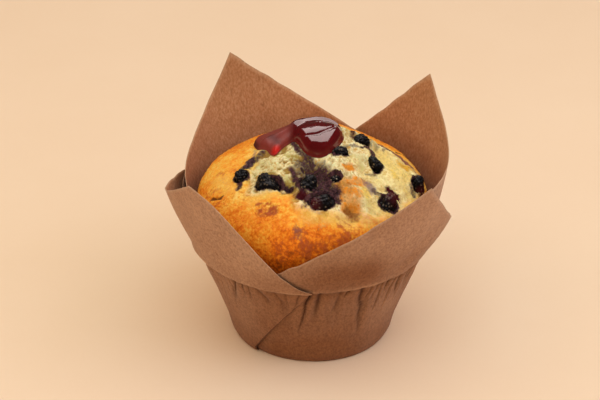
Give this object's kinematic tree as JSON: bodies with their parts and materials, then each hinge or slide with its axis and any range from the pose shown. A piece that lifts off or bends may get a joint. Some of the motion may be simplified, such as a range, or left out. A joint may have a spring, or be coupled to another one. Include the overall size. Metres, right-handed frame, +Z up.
{
  "type": "blueberry muffin in a tulip paper case",
  "caption": "Domed blueberry muffin with split crown, sunken berries and a spoonful of jam, in a folded brown tulip baking paper case.",
  "frame": {"origin": "centre of the paper case's flat base, on the table", "axes": "+Z up; the wrap's open front valley looks along -Y, +X to its right"},
  "size_m": [0.0912, 0.0914, 0.0789],
  "materials": {
    "paper": "matt brown baking paper",
    "muffin": "baked cake, golden crust and pale crumb",
    "jam": "wet, glossy dark red",
    "berry": "shrivelled dark skin, slightly shiny"
  },
  "bodies": {
    "root": {"paper_case": "paper", "muffin": "muffin", "jam": "jam", "blueberry_1": "berry", "blueberry_2": "berry", "blueberry_3": "berry", "blueberry_4": "berry", "blueberry_5": "berry", "blueberry_6": "berry", "blueberry_7": "berry", "blueberry_8": "berry", "blueberry_9": "berry", "blueberry_10": "berry"}
  },
  "joints": []
}
